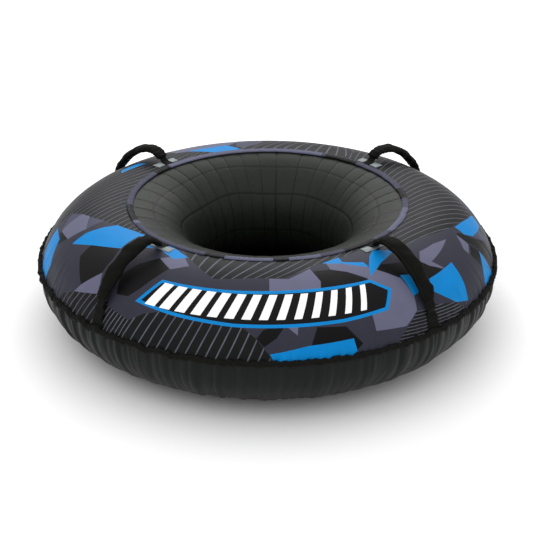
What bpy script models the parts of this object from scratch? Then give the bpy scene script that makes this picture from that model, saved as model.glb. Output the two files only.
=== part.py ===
"""Round towable tube: a butyl inner tube in a two-part sewn cover, with padded grab handles and a tow point."""

import math

import bpy
from mathutils import Vector

for leftover in list(bpy.data.objects):
    bpy.data.objects.remove(leftover, do_unlink=True)

# ---- Driving dimensions, in metres and degrees ----
RING_RADIUS = 0.395  # axis of the ring to the middle of the tube's cross-section
HALF_WIDTH = 0.200  # half the cross-section's width
HALF_HEIGHT = 0.162  # cross-section above its middle
SAG_HEIGHT = 0.154  # cross-section below its middle, before the floor flattens it
CENTRE_HEIGHT = 0.150  # middle of the cross-section above the floor
SIDES = 36  # flats round every ring, so that the shells stay parallel
FIRST_CORNER = 5.0  # azimuth of the first corner between two flats

COVER_THICKNESS = 0.0012
CLEARANCE = 0.0003
TUBE_WALL = 0.0015

SEAM_ANGLE = 8.2  # where the two covers meet, up from the widest line
FLANGE_WIDTH = 0.0115  # how far the sewn edges stand out
BINDING_HEIGHT = 0.010
BINDING_THICKNESS = 0.0012
HEM_OUTER_ANGLE = 97.5
HEM_WIDTH = 0.020
HEM_HEIGHT = 0.0066
ELASTIC_RADIUS = 0.0019
COVER_EDGE_ANGLE = 98.4
FLOOR_OPENING = 0.345  # inner edge of the pleated bottom cover, which laps over the base panel
PANEL_MARGIN = 0.004  # how far the base panel's edge stays inside the flat ring that the tube rests on

STRAP_WIDTH = 0.0254
STRAP_THICKNESS = 0.0018
SLEEVE_WIDTH = 0.037
SLEEVE_THICKNESS = 0.0125
SLEEVE_SIDE_ROOM = 0.00155  # between the strap's edges and the sleeve's bore
SLEEVE_FACE_ROOM = 0.0013  # between the strap's faces and the sleeve's bore
SLEEVE_BORE_WIDTH = STRAP_WIDTH + 2 * SLEEVE_SIDE_ROOM
SLEEVE_BORE_HEIGHT = STRAP_THICKNESS + 2 * SLEEVE_FACE_ROOM
PATCH_LENGTH = 0.075
PATCH_THICKNESS = 0.0010
PATCH_LIFT = 0.0007
PATCH_ANGLES = (88.5, 92.0, 95.5)

STEM_RADIUS = 0.0041
STEM_BORE = 0.0024
STEM_LENGTH = 0.036
VALVE_BASE_RADIUS = 0.015
CAP_RADIUS = 0.0056
CAP_LENGTH = 0.014

TOW_STRAP_WIDTH = 0.038
TOW_LOOP_LENGTH = 0.046
TOW_RING_RADIUS = 0.024  # half the D ring's width, to the middle of its wire
TOW_RING_DROP = 0.010  # straight part of the D's sides
TOW_RING_WIRE = 0.0025

# Azimuths of each handle's inner foot and of its outer end at the seam; the front is at 270
HANDLES = {
    "front_left": (228.5, 228.0),
    "front_right": (311.5, 310.5),
    "rear_left": (138.5, 140.0),
    "rear_right": (41.5, 40.0),
}
# (angle on the cross-section, height above the cover) along the moving part of a handle
ARCH = (
    (90.3, 0.0090),
    (88.9, 0.0150),
    (86.4, 0.0240),
    (82.5, 0.0310),
    (77.0, 0.0345),
    (70.5, 0.0340),
    (63.0, 0.0305),
    (55.5, 0.0265),
    (48.5, 0.0220),
    (42.0, 0.0180),
    (37.0, 0.0150),
    (33.5, 0.0130),
    (29.5, 0.0105),
)
SLEEVE_SPAN = (1, 11)  # the points of the arch that the padded sleeve covers
FOOT = ((96.4, 0.0), (92.6, 0.0), (91.4, 0.0024), (90.7, 0.0046))  # sewn part: angle, rise
OUTER_END = ((20.0, 0.0), (24.4, 0.0034), (28.6, 0.0082))

SEAM_HEIGHT = CENTRE_HEIGHT + HALF_HEIGHT * math.sin(math.radians(SEAM_ANGLE))
BASE_LEVEL = COVER_THICKNESS + CLEARANCE  # underside of the pleated cover, above the base panel
FLAT_ANGLE = math.degrees(math.asin((CENTRE_HEIGHT - BASE_LEVEL) / SAG_HEIGHT))
TUBE_LIFT = -(COVER_THICKNESS + CLEARANCE)


def section(angle, lift=0.0):
    """Radius and height of a point on the cross-section, moved out by lift along its normal."""
    turn = math.radians(angle)
    height = HALF_HEIGHT if math.sin(turn) >= 0 else SAG_HEIGHT
    across = math.cos(turn) / HALF_WIDTH
    up = math.sin(turn) / height
    length = math.hypot(across, up)
    radius = RING_RADIUS + HALF_WIDTH * math.cos(turn) + lift * across / length
    level = CENTRE_HEIGHT + height * math.sin(turn) + lift * up / length
    return radius, max(level, BASE_LEVEL - min(lift, 0.0))


def material(name, colour, roughness, metallic=0.0):
    made = bpy.data.materials.new(name)
    made.use_nodes = True
    shader = made.node_tree.nodes["Principled BSDF"]
    shader.inputs["Base Color"].default_value = (*colour, 1.0)
    shader.inputs["Roughness"].default_value = roughness
    shader.inputs["Metallic"].default_value = metallic
    made.diffuse_color = (*colour, 1.0)
    return made


def solid(name, points, faces, look, origin=(0.0, 0.0, 0.0), smooth=True):
    """One named object; faces are turned to face outwards."""
    points = [Vector(point) for point in points]
    volume = 0.0
    for face in faces:
        for second, third in zip(face[1:-1], face[2:]):
            volume += points[face[0]].dot(points[second].cross(points[third]))
    if volume < 0:
        faces = [tuple(reversed(face)) for face in faces]
    start = Vector(origin)
    mesh = bpy.data.meshes.new(name)
    mesh.from_pydata([point - start for point in points], [], faces)
    for polygon in mesh.polygons:
        polygon.use_smooth = smooth
    made = bpy.data.objects.new(name, mesh)
    made.location = start
    made.data.materials.append(material(name, *look))
    bpy.context.scene.collection.objects.link(made)
    return made


def loft(rings, closed=False):
    """Points and faces through rings of equal count, capped at both ends unless the rings close on themselves."""
    count = len(rings[0])
    points = [point for ring in rings for point in ring]
    faces = []
    for i in range(len(rings) if closed else len(rings) - 1):
        after = (i + 1) % len(rings)
        for j in range(count):
            k = (j + 1) % count
            faces.append((i * count + j, i * count + k, after * count + k, after * count + j))
    if not closed:
        faces.append(tuple(range(count)))
        faces.append(tuple((len(rings) - 1) * count + j for j in range(count)))
        faces[-2] = tuple(reversed(faces[-2]))
    return points, faces


def azimuths():
    return [math.radians(FIRST_CORNER + 360.0 * i / SIDES) for i in range(SIDES)]


def round_the_axis(profile):
    """Rings of the closed profile of (radius, height) pairs, one at each corner azimuth."""
    return [[(r * math.cos(turn), r * math.sin(turn), z) for r, z in profile] for turn in azimuths()]


def spun(name, profile, look):
    points, faces = loft(round_the_axis(profile), closed=True)
    return solid(name, points, faces, look)


# ---- Looks: colour, roughness, metallic ----
RUBBER = ((0.020, 0.022, 0.020), 0.45)
PRINT = ((0.055, 0.060, 0.085), 0.55)
BLACK_NYLON = ((0.012, 0.012, 0.014), 0.60)
BLACK_WEBBING = ((0.010, 0.010, 0.011), 0.80)
GREY_TAPE = ((0.170, 0.170, 0.215), 0.65)
ELASTIC = ((0.550, 0.550, 0.520), 0.80)
BRASS = ((0.780, 0.600, 0.300), 0.30, 1.0)
BLACK_CAP = ((0.015, 0.015, 0.016), 0.40)
STEEL = ((0.620, 0.620, 0.640), 0.25, 1.0)

# ---- Inner tube: a hollow ring opened by the valve's hole ----
upper = [SEAM_ANGLE, 20.0, 34.0, 49.0, 65.0, 80.0, 96.0, 106.0, 126.0, 147.0, 168.0]
lower = [192.0, 213.0, 234.0, 180.0 + FLAT_ANGLE, 360.0 - FLAT_ANGLE, 300.0, 318.0, 337.0, 352.5]
tube_angles = upper + lower
outer_points, outer_faces = loft(round_the_axis([section(t, TUBE_LIFT) for t in tube_angles]), closed=True)
inner_lift = TUBE_LIFT - TUBE_WALL
inner_points, inner_faces = loft(round_the_axis([section(t, inner_lift) for t in tube_angles]), closed=True)
shift = len(outer_points)
shell_faces = outer_faces + [tuple(shift + i for i in reversed(face)) for face in inner_faces]
inner_tube = solid("inner_tube", outer_points + inner_points, shell_faces, RUBBER)

# The wall's flat behind the valve, at the front of the hole
wall = section(168.0, TUBE_LIFT)[0] * math.cos(math.radians(180.0 / SIDES))
valve_height = CENTRE_HEIGHT + (HALF_HEIGHT - SAG_HEIGHT) * math.sin(math.radians(12.0)) / 2


def turned(name, profile, sides, look, closed=True):
    """A body turned about the valve's axis, which runs towards the middle of the ring (+Y)."""
    rings = []
    for distance, radius in profile:
        ring = []
        for i in range(sides):
            turn = 2 * math.pi * (i + 0.5) / sides
            x = radius * math.cos(turn)
            z = valve_height + radius * math.sin(turn)
            ring.append((x, -wall + distance, z))
        rings.append(ring)
    points, faces = loft(rings, closed=closed)
    return solid(name, points, faces, look, origin=(0.0, -wall, valve_height))


hole_radius = STEM_RADIUS + CLEARANCE
hole_cutter = turned("valve_hole_cutter", [(-0.012, hole_radius), (0.006, hole_radius)], 16, RUBBER, closed=False)
hole_cutter.hide_render = True
hole_cutter.display_type = "WIRE"
cut = inner_tube.modifiers.new("valve_hole", "BOOLEAN")
cut.operation = "DIFFERENCE"
cut.solver = "EXACT"
cut.object = hole_cutter

# ---- Air valve ----
base_profile = [
    (CLEARANCE, VALVE_BASE_RADIUS),
    (0.0022, VALVE_BASE_RADIUS - 0.0008),
    (0.0034, 0.0088),
    (0.0120, 0.0070),
    (0.0130, 0.0062),
    (0.0130, hole_radius),
    (CLEARANCE, hole_radius),
]
turned("valve_base", base_profile, 16, RUBBER)
stem_tip = STEM_LENGTH - 0.004
stem_profile = [
    (-0.004, STEM_RADIUS),
    (stem_tip - 0.0006, STEM_RADIUS),
    (stem_tip, STEM_RADIUS - 0.0006),
    (stem_tip, STEM_BORE + 0.0003),
    (stem_tip - 0.0005, STEM_BORE),
    (-0.004, STEM_BORE),
]
turned("valve_stem", stem_profile, 16, BRASS)
core_radius = STEM_BORE - CLEARANCE
pin_radius = 0.0006
core_profile = [
    (stem_tip - 0.018, core_radius),
    (stem_tip - 0.001, core_radius),
    (stem_tip - 0.001, pin_radius + 0.0002),
    (stem_tip - 0.018, pin_radius + 0.0002),
]
turned("valve_core", core_profile, 10, BRASS)
pin_profile = [
    (stem_tip - 0.020, 0.0013),
    (stem_tip - 0.0185, 0.0013),
    (stem_tip - 0.0185, pin_radius),
    (stem_tip + 0.0010, pin_radius),
    (stem_tip + 0.0010, 0.0010),
    (stem_tip + 0.0018, 0.0010),
]
turned("valve_core_pin", pin_profile, 8, BRASS, closed=False)
cap_bore = STEM_RADIUS + CLEARANCE
cap_end = stem_tip + 0.004


def capped(name, outside, inside, sides, look):
    """A cup turned about the valve's axis: an outside wall, an end and a blind inside."""
    rings = []
    for distance, radius in outside + inside:
        turns = [2 * math.pi * (i + 0.5) / sides for i in range(sides)]
        rings.append(
            [(radius * math.cos(t), -wall + distance, valve_height + radius * math.sin(t)) for t in turns]
        )
    points, faces = loft(rings, closed=False)
    return solid(name, points, faces, look, origin=(0.0, -wall, valve_height))


# The cup's rings run from the middle of its outer end, round the lip and down to its blind end
outside = [(cap_end, CAP_RADIUS - 0.0010), (cap_end - 0.0010, CAP_RADIUS), (cap_end - CAP_LENGTH, CAP_RADIUS)]
inside = [(cap_end - CAP_LENGTH, cap_bore), (cap_end - 0.0014, cap_bore)]
capped("valve_cap", outside, inside, 16, BLACK_CAP)

# ---- Covers ----
seam_radius = section(SEAM_ANGLE)[0]
flange_radius = seam_radius + FLANGE_WIDTH
half_gap = CLEARANCE / 2
top_angles = [20.0, 34.0, 49.0, 65.0, 80.0, PATCH_ANGLES[0], PATCH_ANGLES[2], COVER_EDGE_ANGLE]
top_profile = [
    (flange_radius, SEAM_HEIGHT + half_gap + COVER_THICKNESS),
    (seam_radius + 0.0008, SEAM_HEIGHT + half_gap + COVER_THICKNESS),
]
top_profile += [section(t) for t in top_angles]
top_profile += [section(t, -COVER_THICKNESS) for t in reversed(top_angles)]
top_profile += [
    (seam_radius - COVER_THICKNESS, SEAM_HEIGHT + half_gap),
    (flange_radius, SEAM_HEIGHT + half_gap),
]
spun("top_cover", top_profile, PRINT)

low_angles = [337.0, 318.0, 300.0, 360.0 - FLAT_ANGLE]
low_profile = [
    (flange_radius, SEAM_HEIGHT - half_gap - COVER_THICKNESS),
    (seam_radius + 0.0008, SEAM_HEIGHT - half_gap - COVER_THICKNESS),
    section(352.5),
]
low_profile += [section(t) for t in low_angles]
low_profile += [(FLOOR_OPENING, BASE_LEVEL), (FLOOR_OPENING, BASE_LEVEL + COVER_THICKNESS)]
low_profile += [section(t, -COVER_THICKNESS) for t in reversed(low_angles)]
low_profile += [
    section(352.5, -COVER_THICKNESS),
    (seam_radius - COVER_THICKNESS, SEAM_HEIGHT - half_gap),
    (flange_radius, SEAM_HEIGHT - half_gap),
]
spun("bottom_cover", low_profile, BLACK_NYLON)

panel_edge = section(360.0 - FLAT_ANGLE)[0] - PANEL_MARGIN
panel_rings = []
for level in (0.0, COVER_THICKNESS):
    panel_rings.append([(panel_edge * math.cos(turn), panel_edge * math.sin(turn), level) for turn in azimuths()])
panel_points, panel_faces = loft(panel_rings)
solid("base_panel", panel_points, panel_faces, BLACK_NYLON)

# ---- Binding folded over the seam's edges ----
binding_inner = seam_radius + 0.0026
binding_outer = flange_radius + CLEARANCE + BINDING_THICKNESS
lip = COVER_THICKNESS + half_gap + CLEARANCE
rise = BINDING_HEIGHT / 2
binding_profile = [
    (binding_inner, SEAM_HEIGHT - lip - BINDING_THICKNESS),
    (flange_radius - 0.0020, SEAM_HEIGHT - rise),
    (binding_outer, SEAM_HEIGHT - rise * 0.55),
    (binding_outer, SEAM_HEIGHT + rise * 0.55),
    (flange_radius - 0.0020, SEAM_HEIGHT + rise),
    (binding_inner, SEAM_HEIGHT + lip + BINDING_THICKNESS),
    (binding_inner, SEAM_HEIGHT + lip),
    (flange_radius + CLEARANCE, SEAM_HEIGHT + lip),
    (flange_radius + CLEARANCE, SEAM_HEIGHT - lip),
    (binding_inner, SEAM_HEIGHT - lip),
]
spun("seam_binding", binding_profile, BLACK_NYLON)

# ---- Hem round the opening: an open channel on the rubber, with the elastic inside it ----
hem_start = Vector(section(96.0, TUBE_LIFT))
hem_along = (Vector(section(106.0, TUBE_LIFT)) - hem_start).normalized()
hem_up = Vector((-hem_along.y, hem_along.x))
if hem_up.y < 0:
    hem_up = -hem_up
hem_first = section(HEM_OUTER_ANGLE, TUBE_LIFT)[0]
hem_offset = (hem_first - hem_start.x) / hem_along.x


def on_rubber(along, up):
    """Radius and height of a point on the flat under the hem."""
    spot = hem_start + hem_along * (hem_offset + along) + hem_up * up
    return spot.x, spot.y


cover_top = COVER_THICKNESS + CLEARANCE
hem_sheet = 0.0010
hem_profile = [
    on_rubber(0.0, cover_top + 0.0008),
    on_rubber(0.0045, HEM_HEIGHT - 0.0012),
    on_rubber(0.0100, HEM_HEIGHT),
    on_rubber(HEM_WIDTH - 0.0030, HEM_HEIGHT - 0.0006),
    on_rubber(HEM_WIDTH, HEM_HEIGHT * 0.55),
    on_rubber(HEM_WIDTH - 0.0015, CLEARANCE),
    on_rubber(0.0080, CLEARANCE),
    on_rubber(0.0080, CLEARANCE + hem_sheet),
    on_rubber(HEM_WIDTH - 0.0020, CLEARANCE + hem_sheet),
    on_rubber(HEM_WIDTH - hem_sheet, HEM_HEIGHT * 0.55),
    on_rubber(HEM_WIDTH - 0.0035, HEM_HEIGHT - 0.0006 - hem_sheet),
    on_rubber(0.0100, HEM_HEIGHT - hem_sheet),
    on_rubber(0.0050, HEM_HEIGHT - 0.0012 - hem_sheet),
    on_rubber(0.0009, cover_top + 0.0005),
]
spun("rim_hem", hem_profile, GREY_TAPE)
elastic_profile = []
for i in range(6):
    turn = math.radians(60.0 * i)
    along = HEM_WIDTH - 0.0080 + ELASTIC_RADIUS * math.cos(turn)
    elastic_profile.append(on_rubber(along, 0.0035 + ELASTIC_RADIUS * math.sin(turn)))
spun("rim_elastic", elastic_profile, ELASTIC)


# ---- Grab handles ----
def flat(azimuth, radius, height=0.0):
    turn = math.radians(azimuth)
    return Vector((radius * math.cos(turn), radius * math.sin(turn), height))


def handle_spot(line, angle, lift):
    """Point over the straight plan line between a handle's two ends, at an angle on the cross-section."""
    start, end = line
    radius = section(angle)[0]
    step = end - start
    a = step.dot(step)
    b = 2 * start.dot(step)
    c = start.dot(start) - radius * radius
    share = (-b + math.sqrt(max(b * b - 4 * a * c, 0.0))) / (2 * a)
    spot = start + step * share
    lifted, height = section(angle, lift)
    out = Vector((spot.x, spot.y, 0.0)).normalized()
    spot = spot + out * (lifted - radius)
    return Vector((spot.x, spot.y, height))


def cover_normal(spot, angle):
    """Outward direction square to the cover at a spot's azimuth and an angle on the cross-section."""
    near = section(angle)
    far = section(angle, 0.01)
    out = Vector((spot.x, spot.y, 0.0)).normalized()
    return (out * (far[0] - near[0]) + Vector((0.0, 0.0, far[1] - near[1]))).normalized()


def strap_rings(spots, across, widths, thickness, flat_to=None):
    """Rectangular rings of a strap along the spots, square to its path or lying flat to the normals given."""
    rings = []
    for i, spot in enumerate(spots):
        before = spots[max(i - 1, 0)]
        after = spots[min(i + 1, len(spots) - 1)]
        ahead = (after - before).normalized()
        side = (across - ahead * across.dot(ahead)).normalized()
        up = side.cross(ahead)
        if flat_to is not None:
            side = (across - flat_to[i] * across.dot(flat_to[i])).normalized()
            up = (up - side * up.dot(side)).normalized()
        if up.z < 0 and abs(up.z) > 0.2:
            up = -up
        half = widths[i] / 2
        thick = thickness / 2
        corners = ((-half, -thick), (half, -thick), (half, thick), (-half, thick))
        rings.append([spot + side * u + up * v for u, v in corners])
    return rings


def steady(rings):
    """Keeps each ring's corners in step with the ring before it."""
    for i in range(1, len(rings)):
        straight = sum((a - b).length for a, b in zip(rings[i - 1], rings[i]))
        half = len(rings[i]) // 2
        swapped = rings[i][half:] + rings[i][:half]
        crossed = sum((a - b).length for a, b in zip(rings[i - 1], swapped))
        if crossed < straight:
            rings[i] = swapped
    return rings


def sleeve_rings(spots, across, width, thickness, flare):
    """Oval rings of the padded sleeve, a little wider at its outer mouth."""
    rings = []
    for i, spot in enumerate(spots):
        before = spots[max(i - 1, 0)]
        after = spots[min(i + 1, len(spots) - 1)]
        ahead = (after - before).normalized()
        side = (across - ahead * across.dot(ahead)).normalized()
        up = side.cross(ahead)
        share = max(0.0, i - (len(spots) - 3)) / 2
        wide = width / 2 * (1 + flare * share)
        ring = []
        for j in range(8):
            turn = 2 * math.pi * (j + 0.5) / 8
            u = math.copysign(abs(math.cos(turn)) ** 0.7, math.cos(turn))
            v = math.sin(turn)
            ring.append(spot + side * u * wide + up * v * thickness / 2 / math.sin(math.radians(67.5)))
        rings.append(ring)
    return rings


def bent_patch(azimuth, angles, length, lift, thickness, pieces):
    """Rings of a patch lying on the cover, taken along the ring."""
    rings = []
    for i in range(pieces + 1):
        along = length * (i / pieces - 0.5)
        lower_side = []
        upper_side = []
        for angle in angles:
            middle = section(angle)[0]
            turn = azimuth + math.degrees(along / middle)
            lower_side.append(flat(turn, *section(angle, lift)))
            upper_side.append(flat(turn, *section(angle, lift + thickness)))
        rings.append(lower_side + upper_side[::-1])
    return rings


strap_lift = PATCH_LIFT + STRAP_THICKNESS / 2
foot_lift = PATCH_LIFT + PATCH_THICKNESS + CLEARANCE + STRAP_THICKNESS / 2
outer_path = [(SEAM_ANGLE + 2.6, strap_lift)] + [(angle, strap_lift + rise) for angle, rise in OUTER_END]
foot_path = [(angle, foot_lift + rise) for angle, rise in FOOT]
for place, (foot_azimuth, seam_azimuth) in HANDLES.items():
    line = (flat(foot_azimuth, section(ARCH[0][0])[0]), flat(seam_azimuth, section(SEAM_ANGLE)[0]))
    step = (line[1] - line[0]).normalized()
    across = Vector((-step.y, step.x, 0.0))
    arch = [handle_spot(line, angle, lift) for angle, lift in ARCH]
    pivot = arch[0]

    widths = [STRAP_WIDTH] * len(arch)
    widths[0] = STRAP_WIDTH * 0.25
    widths[-1] = STRAP_WIDTH * 0.25
    inset = [arch[0]] + [arch[0].lerp(arch[1], 0.55)] + arch[1:-1] + [arch[-1].lerp(arch[-2], 0.45), arch[-1]]
    wide = [STRAP_WIDTH * 0.25] + [STRAP_WIDTH] * (len(inset) - 2) + [STRAP_WIDTH * 0.25]
    points, faces = loft(steady(strap_rings(inset, across, wide, STRAP_THICKNESS)))
    solid(f"handle_{place}_webbing", points, faces, BLACK_WEBBING, origin=pivot, smooth=False)

    covered = arch[SLEEVE_SPAN[0] : SLEEVE_SPAN[1] + 1]
    outside = sleeve_rings(covered, across, SLEEVE_WIDTH, SLEEVE_THICKNESS, 0.16)
    bore = sleeve_rings(covered, across, SLEEVE_BORE_WIDTH, SLEEVE_BORE_HEIGHT, 0.16)
    points, faces = loft(outside + bore[::-1], closed=True)
    solid(f"handle_{place}_sleeve", points, faces, BLACK_NYLON, origin=pivot)

    for name, path in (("foot", foot_path), ("end", outer_path)):
        spots = [handle_spot(line, angle, lift) for angle, lift in path]
        normals = [cover_normal(spot, angle) for spot, (angle, lift) in zip(spots, path)]
        rings = strap_rings(spots, across, [STRAP_WIDTH] * len(path), STRAP_THICKNESS, normals)
        points, faces = loft(steady(rings))
        solid(f"handle_{place}_{name}", points, faces, BLACK_WEBBING, smooth=False)

    rings = bent_patch(foot_azimuth, PATCH_ANGLES, PATCH_LENGTH, PATCH_LIFT, PATCH_THICKNESS, 6)
    points, faces = loft(rings)
    solid(f"handle_{place}_patch", points, faces, GREY_TAPE)

# ---- Tow point at the back ----
tow_angles = (12.0, 20.0, 28.0)
points, faces = loft(bent_patch(90.0, tow_angles, 0.090, PATCH_LIFT, PATCH_THICKNESS, 4))
solid("tow_patch", points, faces, BLACK_NYLON)

apothem = math.cos(math.radians(180.0 / SIDES))
pivot_y = binding_outer * apothem + 0.0036
pivot_z = SEAM_HEIGHT + rise * 0.6
tow_across = Vector((1.0, 0.0, 0.0))
tow_lift = PATCH_LIFT + PATCH_THICKNESS + CLEARANCE + STRAP_THICKNESS / 2
anchor = [
    flat(90.0, *section(26.0, tow_lift)),
    flat(90.0, *section(20.0, tow_lift)),
    flat(90.0, *section(13.5, tow_lift + 0.0004)),
    Vector((0.0, flange_radius - 0.0040, SEAM_HEIGHT + rise + 0.0022)),
    Vector((0.0, flange_radius + 0.0010, SEAM_HEIGHT + rise + 0.0020)),
]
points, faces = loft(steady(strap_rings(anchor, tow_across, [TOW_STRAP_WIDTH] * 5, STRAP_THICKNESS)))
solid("tow_anchor", points, faces, BLACK_WEBBING, smooth=False)

loop_rings = []
bend = TOW_RING_WIRE + 0.0012
outline = [(0.0, 0.0020), (-0.0019, 0.0), (-0.0019, -0.010)]
outline += [(-bend - STRAP_THICKNESS, -TOW_LOOP_LENGTH + 0.012)]
hollow = [(0.0, -0.0060), (-0.0004, -0.0070), (-0.0008, -0.0110)]
hollow += [(-bend, -TOW_LOOP_LENGTH + 0.012)]
for degrees in (200.0, 235.0, 270.0, 305.0, 340.0):
    turn = math.radians(degrees)
    centre = -TOW_LOOP_LENGTH + 0.0055
    outline.append(((bend + STRAP_THICKNESS) * math.cos(turn), centre + (bend + STRAP_THICKNESS) * math.sin(turn)))
    hollow.append((bend * math.cos(turn), centre + bend * math.sin(turn)))
outline += [(bend + STRAP_THICKNESS, -TOW_LOOP_LENGTH + 0.012), (0.0019, -0.010), (0.0019, 0.0)]
hollow += [(bend, -TOW_LOOP_LENGTH + 0.012), (0.0008, -0.0110), (0.0004, -0.0070)]
half = TOW_STRAP_WIDTH / 2
for x, path in ((-half, outline), (half, outline), (half, hollow), (-half, hollow)):
    loop_rings.append([(x, pivot_y + y, pivot_z + z) for y, z in path])
points, faces = loft(loop_rings, closed=True)
solid("tow_loop", points, faces, BLACK_WEBBING, origin=(0.0, pivot_y, pivot_z), smooth=False)

ring_top = pivot_z - TOW_LOOP_LENGTH + 0.0055 - bend + TOW_RING_WIRE + CLEARANCE  # middle of its bar
bar = TOW_RING_RADIUS - 0.0030
ring_path = [(-bar, 0.0), (-bar / 3, 0.0), (bar / 3, 0.0), (bar, 0.0), (TOW_RING_RADIUS, -0.0030)]
for i in range(9):
    turn = math.pi * i / 8
    ring_path.append((TOW_RING_RADIUS * math.cos(turn), -TOW_RING_DROP - TOW_RING_RADIUS * math.sin(turn)))
ring_path.append((-TOW_RING_RADIUS, -0.0030))
ring_rings = []
for i, (x, z) in enumerate(ring_path):
    before = Vector(ring_path[i - 1])
    after = Vector(ring_path[(i + 1) % len(ring_path)])
    here = Vector((x, z))
    ahead = ((after - here).normalized() + (here - before).normalized()).normalized()
    mitre = 1 / max(ahead.dot((here - before).normalized()), 0.5)
    out = Vector((ahead.y, 0.0, -ahead.x)) * mitre
    ring = []
    for j in range(8):
        around = 2 * math.pi * j / 8
        offset = out * math.cos(around) + Vector((0.0, math.sin(around), 0.0))
        ring.append(Vector((x, pivot_y, ring_top + z)) + offset * TOW_RING_WIRE)
    ring_rings.append(ring)
points, faces = loft(ring_rings, closed=True)
solid("tow_ring", points, faces, STEEL, origin=(0.0, pivot_y, ring_top))
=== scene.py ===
"""Round towable tube: an inflated rubber ring in a printed cover, with handles, a valve and a tow ring."""

import math

import bmesh
import bpy
import numpy as np
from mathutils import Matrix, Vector


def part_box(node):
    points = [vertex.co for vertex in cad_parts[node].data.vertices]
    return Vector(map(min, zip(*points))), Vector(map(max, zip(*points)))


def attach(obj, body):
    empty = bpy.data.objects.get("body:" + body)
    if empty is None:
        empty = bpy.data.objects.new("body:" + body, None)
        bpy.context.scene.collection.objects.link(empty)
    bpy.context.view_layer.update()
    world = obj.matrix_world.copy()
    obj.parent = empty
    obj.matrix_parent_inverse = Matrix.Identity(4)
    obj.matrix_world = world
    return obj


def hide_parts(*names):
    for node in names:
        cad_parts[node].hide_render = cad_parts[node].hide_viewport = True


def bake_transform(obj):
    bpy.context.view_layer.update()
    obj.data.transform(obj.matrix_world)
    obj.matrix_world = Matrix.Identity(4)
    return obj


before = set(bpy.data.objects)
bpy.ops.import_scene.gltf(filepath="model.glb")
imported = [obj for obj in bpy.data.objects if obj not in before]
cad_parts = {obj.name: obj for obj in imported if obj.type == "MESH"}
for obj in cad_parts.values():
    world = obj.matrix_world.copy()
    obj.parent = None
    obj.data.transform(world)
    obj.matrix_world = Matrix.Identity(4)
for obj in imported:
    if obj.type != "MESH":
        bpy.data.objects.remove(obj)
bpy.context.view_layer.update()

# ---- The ring's shape, in metres and degrees: the same values as the solids ----
RING_RADIUS = 0.395
HALF_WIDTH = 0.200
HALF_HEIGHT = 0.162
SAG_HEIGHT = 0.154
CENTRE_HEIGHT = 0.150
COVER_THICKNESS = 0.0012
BASE_LEVEL = 0.0015
TUBE_LIFT = -0.0015
SEAM_ANGLE = 8.2
HEM_ANGLE = 97.5
COVER_EDGE = 98.4
PANEL_OPENING = 255.5 - 360.0
FLANGE_REACH = 0.0070
# Metres along the cross-section for one degree near the hem
HEM_DEGREE = 0.00349

# Azimuths of each handle's foot at the hem and of its end at the seam
HANDLES = {
    "front_left": (228.5, 228.0),
    "front_right": (311.5, 310.5),
    "rear_left": (138.5, 140.0),
    "rear_right": (41.5, 40.0),
}
# Angle on the cross-section and lift off the cover of the strap's points
ARCH = (
    (90.3, 0.0090),
    (88.9, 0.0150),
    (86.4, 0.0240),
    (82.5, 0.0310),
    (77.0, 0.0345),
    (70.5, 0.0340),
    (63.0, 0.0305),
    (55.5, 0.0265),
    (48.5, 0.0220),
    (42.0, 0.0180),
    (37.0, 0.0150),
    (33.5, 0.0130),
    (29.5, 0.0105),
)
FOOT = ((97.0, 0.0026), (95.0, 0.0027), (92.9, 0.0029), (91.5, 0.0052), (90.7, 0.0074))
OUTER_END = ((28.4, 0.0096), (24.4, 0.0050), (20.0, 0.0030), (15.0, 0.0027), (10.4, 0.0030))
STRAP_WIDTH = 0.0254
STRAP_THICKNESS = 0.0018
SLEEVE_WIDTH = 0.037
SLEEVE_THICKNESS = 0.0125
TOW_AZIMUTH = 90.0
TOW_STRAP_WIDTH = 0.038


def section(angle, lift=0.0):
    """Radius and height of points on the ring's cross-section, moved out by lift along its normal."""
    turn = np.radians(np.asarray(angle, float))
    height = np.where(np.sin(turn) >= 0, HALF_HEIGHT, SAG_HEIGHT)
    across = np.cos(turn) / HALF_WIDTH
    up = np.sin(turn) / height
    length = np.hypot(across, up)
    radius = RING_RADIUS + HALF_WIDTH * np.cos(turn) + lift * across / length
    level = CENTRE_HEIGHT + height * np.sin(turn) + lift * up / length
    return radius, np.maximum(level, BASE_LEVEL - np.minimum(lift, 0.0))


SEAM_RADIUS, SEAM_HEIGHT = (float(x) for x in section(SEAM_ANGLE))


def around(azimuth, radius, level):
    """Points round the ring's axis, from degrees, radius and height."""
    turn, radius, level = np.broadcast_arrays(np.radians(azimuth), radius, level)
    return np.stack([radius * np.cos(turn), radius * np.sin(turn), level], -1)


def wall(azimuth, angle, lift):
    """Points on the ring, moved out by lift."""
    return around(azimuth, *section(angle, lift))


def lobes(azimuth, count, seed, uneven=0.45, vary=0.5):
    """Share of the way through its lobe, and the lobe's size, for uneven lobes once round the ring."""
    draw = np.random.RandomState(seed)
    widths = 1 + uneven * (draw.rand(count) * 2 - 1)
    sizes = 1 + vary * (draw.rand(count) * 2 - 1)
    edges = np.concatenate([[0.0], np.cumsum(widths)]) * 360 / widths.sum()
    place = np.mod(azimuth, 360.0)
    index = np.clip(np.searchsorted(edges, place, side="right") - 1, 0, count - 1)
    share = (place - edges[index]) / (edges[index + 1] - edges[index])
    return share, sizes[index]


def puffs(azimuth, count, seed, sharp=0.6, uneven=0.45, vary=0.5):
    """Rounded lobes that meet in narrow valleys."""
    share, size = lobes(azimuth, count, seed, uneven, vary)
    return size * np.abs(np.sin(np.pi * share)) ** sharp


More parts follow.
